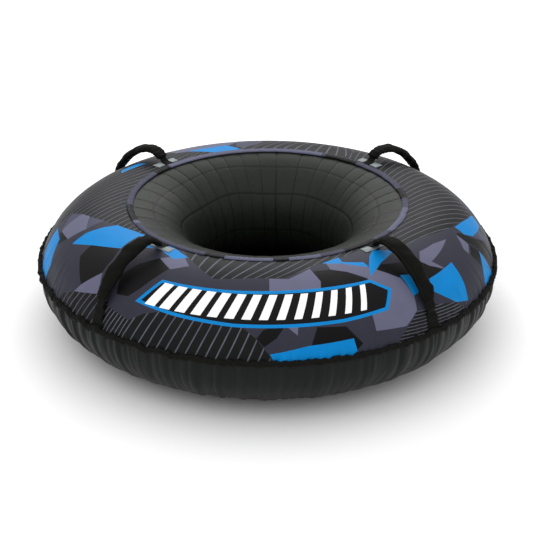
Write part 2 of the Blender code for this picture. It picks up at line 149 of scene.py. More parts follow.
def waver(azimuth, low, high, seed, terms=18):
    """A smooth uneven wave round the ring, about -1 to 1."""
    draw = np.random.RandomState(seed)
    turn = np.radians(azimuth)
    total = np.zeros_like(np.asarray(azimuth, float))
    for _ in range(terms):
        total = total + np.cos(draw.randint(low, high) * turn + draw.rand() * 2 * math.pi)
    return total * math.sqrt(2 / terms) * 0.6


def fade(value, start, end):
    """0 at start and 1 at end, smooth between."""
    share = np.clip((value - start) / (end - start), 0.0, 1.0)
    return share * share * (3 - 2 * share)


def calm(azimuth, reach=3.0):
    """1 away from the straps sewn into the seam, falling to a little beside them."""
    left = np.ones_like(np.asarray(azimuth, float))
    for middle in [ends[1] for ends in HANDLES.values()] + [TOW_AZIMUTH]:
        gap = (np.asarray(azimuth, float) - middle + 180.0) % 360.0 - 180.0
        left = left * (1 - 0.8 * np.exp(-((gap / reach) ** 2)))
    return left


def seam_wave(azimuth):
    """How far the seam wanders up and down."""
    return 0.0023 * waver(azimuth, 38, 75, 3) + 0.0011 * waver(azimuth, 110, 190, 4)


# ---- Making pieces ----
def placed(name, data, look=None):
    """An object holding the given data, in the scene."""
    made = bpy.data.objects.new(name, data)
    bpy.context.scene.collection.objects.link(made)
    if look is not None:
        data.materials.append(look)
    return made


def finish_mesh(mesh, crease=None):
    """Faces outward and smooth, with sharp edges where they bend by more than crease degrees."""
    work = bmesh.new()
    work.from_mesh(mesh)
    bmesh.ops.recalc_face_normals(work, faces=work.faces)
    work.to_mesh(mesh)
    work.free()
    mesh.polygons.foreach_set("use_smooth", np.full(len(mesh.polygons), True))
    if crease is not None:
        mesh.set_sharp_from_angle(angle=math.radians(crease))
    mesh.update()


def surface(name, grid, look, loops=(False, False), caps=False, uv=None, crease=None):
    """A piece over a grid of points. loops: which ways the grid closes on itself; caps fills its ends."""
    rows, columns = grid.shape[:2]
    row_steps = np.arange(rows if loops[0] else rows - 1)
    column_steps = np.arange(columns if loops[1] else columns - 1)
    i, j = np.meshgrid(row_steps, column_steps, indexing="ij")
    after, beside = (i + 1) % rows, (j + 1) % columns
    here, there = i * columns, after * columns
    faces = np.stack([here + j, there + j, there + beside, here + beside], -1).reshape(-1, 4).tolist()
    if caps:
        faces.append(list(range(columns)))
        faces.append([(rows - 1) * columns + k for k in reversed(range(columns))])
    mesh = bpy.data.meshes.new(name)
    mesh.from_pydata(grid.reshape(-1, 3).tolist(), [], faces)
    if uv is not None:
        layer = mesh.uv_layers.new(name="lay")
        corners = np.stack([uv[i, j], uv[i + 1, j], uv[i + 1, j + 1], uv[i, j + 1]], 2).reshape(-1, 2)
        flat = np.zeros((len(mesh.loops), 2), np.float32)
        flat[: len(corners)] = corners
        layer.data.foreach_set("uv", flat.ravel())
    finish_mesh(mesh, crease)
    return placed(name, mesh, look)


def unit(vectors):
    """The vectors, each at length 1."""
    return vectors / np.linalg.norm(vectors, axis=1, keepdims=True)


def along(at, run, points):
    """Points at the given distances along a line of points whose own distances are run."""
    return np.stack([np.interp(at, run, points[:, k]) for k in range(3)], -1)


def stitched(name, rows, look, pitch=0.0042, length=0.0030, radius=0.00038):
    """Thread along rows of (points, outward directions), one short rounded stitch at each pitch."""
    sides, sections = 6, 5
    around_it = np.arange(sides) * math.pi / 3
    steps = np.array([-0.5, -0.34, 0.0, 0.34, 0.5]) * length
    fat = np.array([0.35, 0.9, 1.0, 0.9, 0.35]) * radius
    rise = np.array([-0.6, 0.25, 0.6, 0.25, -0.6]) * radius
    points, faces = [], []
    base = 0
    for spots, ups in rows:
        spots, ups = np.asarray(spots, float), np.asarray(ups, float)
        gaps = np.linalg.norm(np.diff(spots, axis=0), axis=1)
        run = np.concatenate([[0.0], np.cumsum(gaps)])
        count = max(int(run[-1] / pitch), 1)
        at = (np.arange(count) + 0.5) * run[-1] / count
        centre = along(at, run, spots)
        ahead = unit(along(at + 1e-4, run, spots) - along(at - 1e-4, run, spots))
        up = along(at, run, ups)
        up = unit(up - ahead * (up * ahead).sum(1, keepdims=True))
        side = np.cross(ahead, up)
        made = (
            centre[:, None, None]
            + ahead[:, None, None] * steps[None, :, None, None]
            + side[:, None, None] * (fat[None, :, None] * np.cos(around_it))[..., None]
            + up[:, None, None] * (rise[None, :, None] + fat[None, :, None] * np.sin(around_it))[..., None]
        )
        points.append(made.reshape(-1, 3))
        ring = np.arange(sides)
        turned = (ring + 1) % sides
        band = np.stack([ring, turned, turned + sides, ring + sides], -1)
        quads = np.concatenate([band + k * sides for k in range(sections - 1)])
        starts = base + sides * sections * np.arange(count)
        faces += (starts[:, None, None] + quads[None]).reshape(-1, 4).tolist()
        faces += (starts[:, None] + ring[None, ::-1]).tolist()
        faces += (starts[:, None] + sides * (sections - 1) + ring[None]).tolist()
        base += sides * sections * count
    mesh = bpy.data.meshes.new(name)
    mesh.from_pydata(np.concatenate(points).tolist(), [], faces)
    finish_mesh(mesh)
    return placed(name, mesh, look)


# ---- Shader tools ----
class Wire:
    """One node's output, used like a number: each operator adds a Math node."""

    def __init__(self, look, socket):
        self.look, self.socket = look, socket

    def maths(self, operation, *others):
        return self.look.node("Math", {"operation": operation}, [self, *others])

    def __add__(self, other):
        return self.maths("ADD", other)

    def __sub__(self, other):
        return self.maths("SUBTRACT", other)

    def __rsub__(self, other):
        return self.look.node("Math", {"operation": "SUBTRACT"}, [other, self])

    def __mul__(self, other):
        return self.maths("MULTIPLY", other)

    def __truediv__(self, other):
        return self.maths("DIVIDE", other)

    def __gt__(self, other):
        return self.maths("GREATER_THAN", other)

    def __lt__(self, other):
        return self.maths("LESS_THAN", other)


def socket_name(key):
    """A shader socket's label from its keyword."""
    return key.replace("_", " ").title().replace("Ior", "IOR")


class Look:
    """A material whose nodes are written as expressions. Constant values go on the shader's own sockets."""

    def __init__(self, name, **constants):
        self.material = bpy.data.materials.new(name)
        self.material.use_nodes = True
        self.tree = self.material.node_tree
        self.shader = self.tree.nodes["Principled BSDF"]
        for key, value in constants.items():
            self.shader.inputs[socket_name(key)].default_value = value

    def node(self, kind, settings, inputs, out=0):
        """Adds one node, then sets or joins its inputs; returns the output asked for."""
        made = self.tree.nodes.new("ShaderNode" + kind)
        for key, value in settings.items():
            setattr(made, key, value)
        pairs = inputs.items() if isinstance(inputs, dict) else enumerate(inputs)
        for key, value in pairs:
            if isinstance(value, Wire):
                self.tree.links.new(value.socket, made.inputs[key])
            elif value is not None:
                made.inputs[key].default_value = value
        return Wire(self, made.outputs[out])

    def mix(self, mask, first, second, blend="MIX"):
        """Colour: first where mask is 0, second blended over it where it is 1."""
        return self.node("Mix", {"data_type": "RGBA", "blend_type": blend}, {0: mask, 6: first, 7: second}, 2)

    def parts(self, vector):
        return [self.node("SeparateXYZ", {}, [vector], k) for k in range(3)]

    def vector(self, x, y, z=0.0):
        return self.node("CombineXYZ", {}, [x, y, z])

    def place(self):
        """Metres in the piece's own frame."""
        return self.node("TexCoord", {}, [], "Object")

    def lay(self):
        """The piece's own lay coordinates."""
        return self.node("UVMap", {"uv_map": "lay"}, [])

    def noise(self, vector, scale, detail=3.0, rough=0.5):
        inputs = {"Vector": vector, "Scale": scale, "Detail": detail, "Roughness": rough}
        return self.node("TexNoise", {}, inputs)

    def feed(self, **wires):
        for key, wire in wires.items():
            self.tree.links.new(wire.socket, self.shader.inputs[socket_name(key)])
        return self.material

    def bump(self, height, distance, strength=1.0):
        return self.node("Bump", {}, {"Strength": strength, "Distance": distance, "Height": height})


def shaded(colour, share):
    """The colour times share, no brighter than 1, opaque."""
    return tuple(min(c * share, 1.0) for c in colour[:3]) + (1.0,)


def tint(code):
    """Linear colour of a six-figure paint code."""
    parts = [int(code[k : k + 2], 16) / 255 for k in (0, 2, 4)]
    return tuple(c / 12.92 if c < 0.04045 else ((c + 0.055) / 1.055) ** 2.4 for c in parts) + (1.0,)


# ---- Finishes ----
BLUE = tint("007CC2")
PURPLE = tint("30303C")
MID = tint("444557")
LIGHT = tint("5F6076")
BLACK = tint("0B0B0D")
PIN_GROUND = tint("141515")
PIN_LINE = tint("5C5C69")
WHITE = tint("F4F4F2")

# Millimetres on the cover for one degree round the ring and one degree up its cross-section
ROUND_MM = 8.7
UP_MM = 3.15

# Corners of the printed patches: azimuth and angle on the cross-section, in degrees
FIELD = (
    (
        (184, 0), (184, 55), (198, 79), (204, 85), (212, 93),
        (222, 98.5), (309, 98.5), (312, 92), (316, 80), (316, 0),
    ),
    ((312, 0), (312, 81), (328.3, 77.8), (335, 73.3), (340.8, 66.7), (350, 56.5), (362, 45), (362, 0)),
)
HEM_PINS = (
    ((236, 99), (242, 90), (252.5, 70.6), (265, 75.2), (265, 99)),
    ((265, 99), (265, 75.2), (275, 75.5), (284, 85.5), (284, 99)),
    ((284, 99), (284, 87), (309, 96), (309, 99)),
)
LOW_PINS = (
    ((211, 6), (212.5, 18), (217, 25.5), (225.5, 34.5), (229, 34.5), (229, 6)),
    ((229, 6), (229, 29.5), (236.7, 25), (236.7, 6)),
    ((236.7, 6), (236.7, 25), (240, 33), (246, 40), (263, 38), (267.5, 26.5), (270.5, 14), (270.5, 6)),
)
SIDE_PINS = (((307, 28.5), (312, 28.5), (320, 20.5), (324.5, 6), (300, 6), (300.5, 12.5)),)
WEDGES = (((263.5, 37.5), (267.5, 26.5), (269, 33), (273, 38)),)
DARKS = (
    ((209, 62), (219, 72.8), (221, 63), (222, 48), (218, 33), (210, 49)),
    ((230.5, 40), (228, 55), (230, 68), (234, 80), (240, 72.5), (239, 62), (236, 50), (234.6, 42)),
    ((284, 80), (289.6, 79.5), (294, 74), (298, 64), (298, 60), (284.5, 60)),
    ((303, 69), (305.5, 72.5), (313, 67), (313, 54), (307, 57)),
    ((314, 48), (316, 60), (317.5, 61), (322, 47), (318, 44)),
    ((340.3, 58), (342, 57), (345, 44.5), (340.3, 45.5)),
    ((345, 44.5), (349, 34), (350, 20), (344, 10), (342, 34), (340.3, 45.5)),
    ((340.3, 45.5), (342, 34), (338, 22), (336.7, 39.5)),
    ((281.3, 33.5), (288, 31.5), (291.3, 16.5), (290, 13), (279.6, 20.5)),
    ((267.5, 26.5), (269, 33), (273, 38), (275, 34), (272, 27), (270, 18)),
    ((197.5, 48.5), (190.5, 44.5), (191, 41.5), (196, 38)),
)
MIDS = (
    ((198, 79), (192, 70.5), (199, 64.5)),
    ((187.5, 64), (183, 54), (190.5, 44.5)),
    ((346, 44), (354, 38.5), (352, 28), (349, 34)),
    ((92, 66), (92, 78), (94, 86), (101, 93), (105.7, 83.5), (102, 76), (101, 66)),
)
LIGHTS = (
    ((191.5, 70), (199, 64.5), (198, 48.5), (190.5, 44.5), (187.5, 64)),
    ((216.7, 25.5), (218, 33.5), (222, 49.5), (225.5, 34.5)),
    ((234, 80), (236.5, 84.5), (241.3, 88), (245, 80), (240.4, 72.5)),
    ((270.5, 60), (270.5, 75), (276, 74), (284, 60)),
    ((276, 74), (283.4, 83.5), (285, 69), (284, 60)),
    ((289.6, 88.5), (295, 83), (294, 74), (289.6, 79.5)),
    ((295, 83), (301, 75.5), (298.3, 64.5), (294, 74)),
    ((301, 75.5), (305, 63.5), (307.5, 57), (299, 58), (298.3, 64.5)),
    ((299, 58), (307.5, 57), (308, 40), (299, 36)),
    ((295, 36), (308, 40), (307, 29), (303, 20.5), (295, 23.5)),
    ((317.5, 62), (321, 68.5), (328.5, 67), (335, 62), (328, 59.5), (321, 56.5)),
    ((317.5, 62), (321, 56.5), (323, 46.5), (319, 55)),
    ((340, 58), (340, 46), (336.3, 41.7), (336, 47)),
    ((273.5, 38), (277, 36), (276.7, 28.5)),
    ((105.7, 83.5), (123, 83.5), (128, 80), (128, 64), (101, 64), (102, 76)),
)
BLUES = (
    ((186, 39.5), (194, 41.5), (200, 24), (200.7, 5), (195, 5), (190, 20)),
    ((202, 50), (201.3, 63), (202.5, 75), (204, 86), (213, 93), (210, 62)),
    ((213, 93), (216.5, 91), (219, 73), (210, 62)),
    ((207, 88.5), (212, 93), (216, 95.3), (222, 97.5), (222, 94.3), (216, 91.5)),
    ((221, 98), (230, 97.5), (230, 89.5), (225, 84), (222, 90)),
    ((229, 97.5), (234, 96.5), (242, 89.5), (238.3, 83.5), (229.5, 89.5)),
    ((288.3, 88.5), (295.4, 92.3), (295, 83.5)),
    ((294.8, 85.5), (301.2, 79.5), (301.5, 73.5), (294.8, 83)),
    ((302, 75.6), (305, 83.5), (309, 89.5), (314.6, 80), (306, 74)),
    ((299.6, 65), (302, 75.6), (306, 74)),
    ((308, 58.5), (311.5, 55.5), (311.5, 41), (308, 40.5)),
    ((312, 29.5), (315.5, 46.8), (327.5, 47.8), (326, 29), (325, 6), (320, 20.5)),
    ((344.4, 63), (350, 56.2), (359.6, 48.3), (360.5, 42), (358.3, 34.4), (346, 44.5), (343.3, 52)),
    ((342, 35), (343.3, 8), (342, 5), (335, 5), (337, 20)),
    ((270.5, 15), (279, 20.2), (289.3, 21.6), (290, 6), (272, 6)),
    ((102, 96), (114.5, 96), (123.6, 83.3), (107, 83.3)),
    ((143, 80), (154.3, 73.5), (151, 68), (144, 72)),
)
RIBBON = (
    (236.5, 40), (240.5, 62), (247, 64.5), (276, 63.5), (298, 64.5),
    (303, 51), (299.5, 36.5), (288, 34.5), (262, 34.5), (247, 37),
)
# Plain slanted bars on the ribbon, which thin out along it: the middle and width of each
BARS = tuple((241.9 + 4.05 * k, 2.75 - 0.09 * k) for k in range(14))
BAR_BOTTOM, BAR_TOP = 40.5, 60.0
SLANT = 0.13  # degrees round for each degree up
PRINT_START = 20.0  # azimuth at which the print's own count of degrees begins


def inside(look, place, corners):
    """Millimetres inside the edges of a printed patch whose corners are given in order."""
    points = np.array(corners, float) * (ROUND_MM, UP_MM)
    ahead = np.roll(points, -1, 0) - points
    area = (points[:, 0] * np.roll(points[:, 1], -1) - points[:, 1] * np.roll(points[:, 0], -1)).sum()
    normal = np.stack([-ahead[:, 1], ahead[:, 0]], 1) * (1 if area > 0 else -1)
    normal /= np.linalg.norm(normal, axis=1, keepdims=True)
    least = None
    for (x, y), point in zip(normal, points):
        edge = look.node(
            "VectorMath",
            {"operation": "DOT_PRODUCT"},
            [place, (float(x), float(y), float(-(x * point[0] + y * point[1])))],
            "Value",
        )
        least = edge if least is None else least.maths("MINIMUM", edge)
    return least


def any_of(look, place, patches):
    """Millimetres inside whichever of the patches it is deepest in."""
    most = None
    for corners in patches:
        here = inside(look, place, corners)
        most = here if most is None else most.maths("MAXIMUM", here)
    return most


def printed_cloth():
    """The top cover's cloth: a dark ground with fine lines, angular patches and a ribbon."""
    look = Look("printed nylon", specular_ior_level=0.09)
    u, v, _ = look.parts(look.lay())
    azimuth = u * 360 + PRINT_START
    angle = v * 180
    # Low on the back the front's print is repeated, up to a zigzag line
    zigzag = ((azimuth / 23).maths("FRACT") - 0.5).maths("ABSOLUTE") * 26 + 36
    back = (azimuth > 52) * (azimuth < 128)
    low = angle < zigzag.maths("MAXIMUM", back * 65)
    behind = (azimuth < 152) * low
    wrapped = (azimuth > 362) * low
    turned = azimuth + behind * 180 - wrapped * 180
    place = look.vector(turned * ROUND_MM, angle * UP_MM, 1.0)

    def strokes(phase, share):
        """1 on the first share of each whole step of phase."""
        return phase.maths("FRACT") < share

    # Two families of fine curved lines, each twice round the ring
    q = (azimuth + 220).maths("FLOORED_MODULO", 180)
    q = q - (q > 165) * 180
    across, rise = q / 33, (angle - 20) / 60
    arc_lines = strokes((across * across + rise * rise).maths("SQRT") / 0.082, 0.13)
    fan = (q + (angle - 75) * 3.26) / ((angle - 75) * 0.03 + 1)
    fan_lines = strokes(fan / 3.0, 0.15)
    fanned = q > 94
    dense = (turned > 229) * (turned < 236.7)
    early = turned < 229
    pitch = 2.3 - dense * 1.15 - early * 0.5
    low_lines = strokes((turned - (angle - 20) * 0.12) / pitch, dense * 0.10 + 0.14)
    side_lines = strokes((angle + turned * 0.35) / 2.6, 0.25)

    field = any_of(look, place, FIELD) > 0
    outer = fanned * fan_lines + (1 - fanned) * arc_lines
    hem_zone = any_of(look, place, HEM_PINS) > 0
    low_zone = any_of(look, place, LOW_PINS) > 0
    side_zone = any_of(look, place, SIDE_PINS) > 0
    ground = (1 - field).maths("MAXIMUM", hem_zone).maths("MAXIMUM", low_zone).maths("MAXIMUM", side_zone)
    zoned = hem_zone * fan_lines + low_zone * low_lines + side_zone * side_lines
    lines = (1 - field) * outer + field * zoned

    blotch = look.noise(look.place(), 26.0, 2.0)
    cloth = look.mix(ground, PURPLE, PIN_GROUND)
    worn = (blotch * 0.8 + 0.45).maths("MINIMUM", 1.0)
    cloth = look.mix(lines.maths("MINIMUM", 1.0) * worn, cloth, PIN_LINE)
    for patches, ink in ((WEDGES, PURPLE), (DARKS, BLACK), (MIDS, MID), (LIGHTS, LIGHT), (BLUES, BLUE)):
        cloth = look.mix(any_of(look, place, patches) > 0, cloth, ink)
    ribbon = inside(look, place, RIBBON)
    cloth = look.mix(ribbon > 0, cloth, BLUE)
    cloth = look.mix(ribbon > 8.0, cloth, BLACK)
    bars = []
    lean = SLANT * (BAR_TOP - BAR_BOTTOM) / 2
    for middle, width in BARS:
        centre = middle + SLANT * ((BAR_TOP + BAR_BOTTOM) / 2 - 50)
        left, right = centre - width / 2, centre + width / 2
        up_left = ((left - lean, BAR_BOTTOM), (left + lean, BAR_TOP))
        down_right = ((right + lean, BAR_TOP), (right - lean, BAR_BOTTOM))
        bars.append(up_left + down_right)
    cloth = look.mix(any_of(look, place, bars) > 0, cloth, WHITE)
    uneven = look.mix(blotch, (0.90, 0.90, 0.90, 1), (1.10, 1.10, 1.10, 1))
    shade = look.mix(1.0, cloth, uneven, "MULTIPLY")
    warp = (azimuth * (ROUND_MM * 2 * math.pi / 0.9)).maths("SINE")
    weft = (angle * (UP_MM * 2 * math.pi / 0.9)).maths("SINE")
    weave = warp * weft * 0.5 + 0.5
    grain = look.noise(look.place(), 900.0, 2.0) * 0.5 + weave * 0.5
    return look.feed(
        base_color=shade,
        roughness=blotch * 0.14 + 0.39,
        normal=look.bump(grain, 0.00012, 0.6),
    )


WEAVE_TURNS = 6200  # radians of weave in a metre


def coated_cloth(name, code, rough, bright=1.12, gloss=0.15):
    """Plain coated nylon with a fine weave."""
    look = Look(name, specular_ior_level=gloss)
    place = look.place()
    blotch = look.noise(place, 14.0, 4.0)
    fine = look.noise(place, 1300.0, 2.0)
    x, y, z = look.parts(place)
    x_wave, y_wave, z_wave = ((part * WEAVE_TURNS).maths("SINE") for part in (x, y, z))
    threads = (x_wave + y_wave) * z_wave * 0.25 + 0.5
    base = tint(code)
    return look.feed(
        base_color=look.mix(blotch, shaded(base, 1 / bright), shaded(base, bright)),
        roughness=blotch * 0.16 + (rough - 0.08),
        normal=look.bump(fine * 0.6 + threads * 0.4, 0.00012, 0.5),
    )


def webbing(name, code, rough=0.78):
    """Woven tape: ribs across it and cords along it, from its lay in millimetres."""
    look = Look(name, specular_ior_level=0.12)
    across, length, _ = look.parts(look.lay())
    bow = (across * (2 * math.pi / 3.2)).maths("SINE") * 1.2
    ribs = (length * (2 * math.pi / 1.7) + bow).maths("SINE") * 0.5 + 0.5
    cords = (across * (2 * math.pi / 1.3)).maths("SINE") * 0.5 + 0.5
    fuzz = look.noise(look.place(), 2200.0, 2.0)
    dust = look.noise(look.place(), 45.0, 3.0)
    base = tint(code)
    # Painted light and shade: the ribs' crests lighter and their hollows darker, mixed with random fuzz and
    # dust tone
    rib_shade_and_dust = ribs * 0.45 + fuzz * 0.3 + dust * 0.25
    return look.feed(
        base_color=look.mix(rib_shade_and_dust, shaded(base, 0.55), shaded(base, 1.45)),
        roughness=dust * 0.14 + (rough - 0.07),
        normal=look.bump(ribs * 0.6 + cords * 0.3 + fuzz * 0.2, 0.00035, 0.8),
    )


def rubber():
    """Black rubber with cloudy talc, with painted shade darkening its fold creases and ring grooves."""
    look = Look("butyl rubber", specular_ior_level=0.13)
    place = look.place()
    cloud = look.noise(place, 9.0, 5.0, 0.6)
    talc = look.noise(place, 60.0, 4.0, 0.6)
    grain = look.noise(place, 700.0, 2.0)
    tone = look.mix(cloud, tint("0B0D0B"), tint("1D211D"))
    tone = look.mix(talc * 0.35, tone, tint("31372F"))
    # Painted shade: near black where the lay carries the fold creases and ring grooves
    folds, rings, _ = look.parts(look.lay())
    tone = look.mix((folds * 0.75).maths("MAXIMUM", rings * 0.85).maths("MINIMUM", 0.9), tone, tint("030403"))
    return look.feed(
        base_color=tone,
        roughness=cloud * 0.20 + talc * 0.10 + 0.27,
        normal=look.bump(grain * 0.5 + talc * 0.5, 0.00025, 0.5),
    )


RIBS_PER_DEGREE = 6.4
# Where the hem shows another colour than its own grey: start and end azimuths
HEM_BANDS = (
    (0, 11, BLACK), (45, 62, BLACK), (64, 140, LIGHT), (141, 150, BLACK), (187, 203, BLACK),
    (203, 206, LIGHT), (246, 254, BLACK), (254, 272, LIGHT), (272, 278, BLACK), (278, 290, LIGHT),
    (300, 316, BLACK), (326, 350, LIGHT),
)


def hem_tape():
    """Ribbed grey tape, with the print's black and light stretches."""
    look = Look("hem tape", specular_ior_level=0.15)
    u, v, _ = look.parts(look.lay())
    azimuth = u * 360
    tone = look.mix(look.noise(look.place(), 30.0, 2.0) * 0.4, tint("3E3F50"), tint("4C4D60"))
    for start, end, shade in HEM_BANDS:
        here = (azimuth > start) * (azimuth < end)
        tone = look.mix(here, tone, shade)
    ribs = (azimuth * (2 * math.pi * RIBS_PER_DEGREE)).maths("SINE") * 0.5 + 0.5
    fuzz = look.noise(look.place(), 1500.0, 2.0)
    return look.feed(
        base_color=look.mix(fuzz * 0.15, tone, BLACK),
        roughness=fuzz * 0.12 + 0.52,
        normal=look.bump(ribs * 0.4 + fuzz * 0.6, 0.0002, 0.6),
    )


def plain(name, code, rough, metallic=0.0, grain=900.0, depth=0.00005, vary=0.15):
    look = Look(name, metallic=metallic, specular_ior_level=0.5)
    spots = look.noise(look.place(), 60.0, 4.0)
    fine = look.noise(look.place(), grain, 2.0)
    base = tint(code)
    return look.feed(
        base_color=look.mix(spots, shaded(base, 1 - vary), shaded(base, 1 + vary)),
        roughness=spots * 0.14 + (rough - 0.07),
        normal=look.bump(fine, depth, 0.5),
    )


PRINT = printed_cloth()
BOTTOM_CLOTH = coated_cloth("coated nylon", "0D0F0F", 0.44)
PANEL_CLOTH = coated_cloth("panel nylon", "0C0D0D", 0.55)
BINDING_TAPE = coated_cloth("binding tape", "090906", 0.74, 1.3, 0.12)
SLEEVE_CLOTH = coated_cloth("sleeve cloth", "090907", 0.80, 1.2, 0.10)
STRAP_WEB = webbing("black webbing", "0A0A08")
PATCH_WEB = webbing("grey patch tape", "8F9797", 0.66)
TOW_WEB = webbing("tow webbing", "0A0A0B")
RUBBER = rubber()
HEM_TAPE = hem_tape()
BLACK_THREAD = plain("black thread", "101010", 0.62)
GREY_THREAD = plain("grey thread", "55556A", 0.6)
ELASTIC = plain("braided elastic", "BDBDB4", 0.8, 0.0, 1600.0, 0.0002)
BRASS = plain("nickelled brass", "C9B37A", 0.30, 1.0)
CAP_PLASTIC = plain("cap plastic", "1A1A1B", 0.42)
STEEL = plain("plated steel", "B9BABD", 0.26, 1.0, 400.0, 0.00003, 0.08)
VALVE_RUBBER = plain("valve rubber", "1B1C1B", 0.5)

# ---- The two covers ----
COLUMNS = 1080
seam_degrees = 180 / math.pi / (HALF_HEIGHT * math.cos(math.radians(SEAM_ANGLE)))


def top_lift(azimuth, angle):
    """How far the inflated cover stands off the plain ring: gathers at the seam, small tucks at the hem."""
    near_seam = (1 - fade(angle, SEAM_ANGLE, 27.0)) ** 1.4
    gathers = 0.0026 * puffs(azimuth, 176, 11) + 0.0009 * puffs(azimuth + angle * 0.1, 410, 12)
    folds = 0.0013 * fade(puffs(azimuth + 0.04 * angle, 92, 14), 0.55, 1.3) * (1 - fade(angle, 14.0, 48.0))
    tucks = 0.0005 * puffs(azimuth, 230, 13) * fade(angle, 87.0, 97.0)
    sway = 0.0003 * waver(azimuth + angle * 0.2, 9, 30, 15) * (1 - fade(angle, 60.0, 85.0))
    return 0.0002 + calm(azimuth) * (near_seam * gathers + folds) + tucks + np.abs(sway)


def bottom_lift(azimuth, angle):
    """Pleats taken up at the seam, which open out towards the floor."""
    down = SEAM_ANGLE - angle
    drift = azimuth + 1.1 * np.sin(np.radians(azimuth * 3)) * np.clip(down, 0, 80) / 80
    depth = 0.0052 - 0.0024 * fade(down, 6.0, 55.0) - 0.0026 * fade(down, 55.0, 86.0)
    wide_pleats = 0.55 * puffs(drift, 92, 21, 0.45, 0.6, 0.5)
    pleats = depth * (wide_pleats + 0.75 * puffs(drift, 168, 24, 0.5, 0.7, 0.8))
    small = 0.0013 * puffs(azimuth, 205, 22) * (1 - fade(down, 4.0, 26.0))
    creases = 0.0007 * puffs(drift + 0.05 * down, 160, 23, 0.8)
    creases = creases * fade(down, 8.0, 26.0) * (1 - fade(down, 60.0, 84.0))
    return np.maximum(pleats + small + creases - 0.0012, 0.0)


def cover_shell(turn, last, steps, back_count, lift, side):
    """A cover's grid, out from its flange at the seam to the angle last and back inside, and its angles."""
    wave = seam_wave(turn)
    first = SEAM_ANGLE + wave * seam_degrees
    outer = first + (last - first) * steps
    inner = first + (last - first) * np.linspace(1, 0, back_count)[None, :]
    flange, flange_back = (
        around(turn, SEAM_RADIUS + FLANGE_REACH, SEAM_HEIGHT + wave + side * gap) for gap in (0.0016, 0.0004)
    )
    outside = wall(turn, outer, lift(turn, outer))
    within = wall(turn, inner, lift(turn, inner) - COVER_THICKNESS)
    grid = np.concatenate([flange, outside, within, flange_back], axis=1)
    return grid, np.concatenate([first, outer, inner, first], axis=1)


rounds = PRINT_START + np.linspace(0.0, 360.0, COLUMNS + 1)[:, None]
steps = np.linspace(0, 1, 70)[None, :]
steps = 0.55 * steps + 0.45 * (0.5 - 0.5 * np.cos(np.pi * steps))
grid, angle_rows = cover_shell(rounds[:-1], COVER_EDGE, steps, 22, top_lift, 1)
angle_rows = np.concatenate([angle_rows, angle_rows[:, :1]], axis=1)
angle_rows = np.concatenate([angle_rows, angle_rows[:1]], axis=0)
turn_share = np.broadcast_to((rounds - PRINT_START) / 360.0, angle_rows.shape)
top_cover = surface("cover_top", grid, PRINT, (True, True), uv=np.stack([turn_share, angle_rows / 180.0], -1))

rounds = np.linspace(0.0, 360.0, COLUMNS + 1)[:-1, None]
grid, _ = cover_shell(rounds, PANEL_OPENING, np.linspace(0, 1, 84)[None, :], 30, bottom_lift, -1)
bottom_cover = surface("cover_bottom", grid, BOTTOM_CLOTH, (True, True))

# ---- Base panel: the disc under the hole ----
panel_turn = np.linspace(0, 360, 241)[:-1][None, :]
reach = np.linspace(0.002, 0.4415, 90)[:, None]
under = around(panel_turn, reach, 0.0)
open_part = 1 - fade(reach, 0.20, 0.335)
ridge = 0.0011 * open_part * (puffs(panel_turn + reach * 20, 34, 31, 0.8) * fade(reach, 0.02, 0.12))
over = around(panel_turn, reach, 0.0012 + ridge)
grid = np.concatenate([under, over[::-1]], axis=0)
base_panel = surface("base_panel_cloth", grid, PANEL_CLOTH, (False, True), caps=True)

# ---- Rubber inner tube ----
tube_turn = np.linspace(0, 360, 1201)[:-1, None]
# Few rows under the covers, many in the bare wall of the hole
tube_angle = np.concatenate([np.linspace(-85, 92, 26), np.linspace(94, 250, 200), np.linspace(252, 273, 8)])
tube_angle = tube_angle[None, :]
bare = fade(tube_angle, 97.0, 106.0) * (1 - fade(tube_angle, 236.0, 252.0))
share, size = lobes(tube_turn + 0.03 * (tube_angle - 180), 38, 41, 0.3, 0.5)
fold = np.exp(-((np.abs(np.sin(np.pi * share)) / 0.10) ** 2)) * size
crease = -0.0009 * fold
pillow = 0.0006 * np.abs(np.sin(np.pi * share)) ** 0.7 * size
# The second sum masks the ring grooves, for painted shade in the rubber's colour
rings, ring_shade = 0.0, 0.0
DEEPEST_RING = 0.0009
for place, depth in ((121.0, 0.0006), (149.0, DEEPEST_RING), (186.0, 0.0006)):
    sway = place + 1.6 * waver(tube_turn, 2, 9, 43)
    line = np.exp(-(((tube_angle - sway) / 0.95) ** 2))
    rings = rings - depth * line
    ring_shade = ring_shade + line * depth / DEEPEST_RING
ripple = 0.0005 * waver(tube_turn + 0.05 * tube_angle, 60, 130, 44) * fade(tube_angle, 120.0, 200.0)
tube_lift = TUBE_LIFT + bare * (crease + pillow + rings + ripple)
# Painted shade: the fold creases and ring grooves go into the lay coordinates, where the rubber's colour
# darkens them
groove_shade = np.stack(np.broadcast_arrays(fold * bare, ring_shade * bare), -1)
groove_shade = np.concatenate([groove_shade, groove_shade[:1]], 0)
groove_shade = np.concatenate([groove_shade, groove_shade[:, :1]], 1)
grid = wall(tube_turn, tube_angle, tube_lift)
inner_tube = surface("rubber_tube", grid, RUBBER, (True, True), uv=groove_shade)

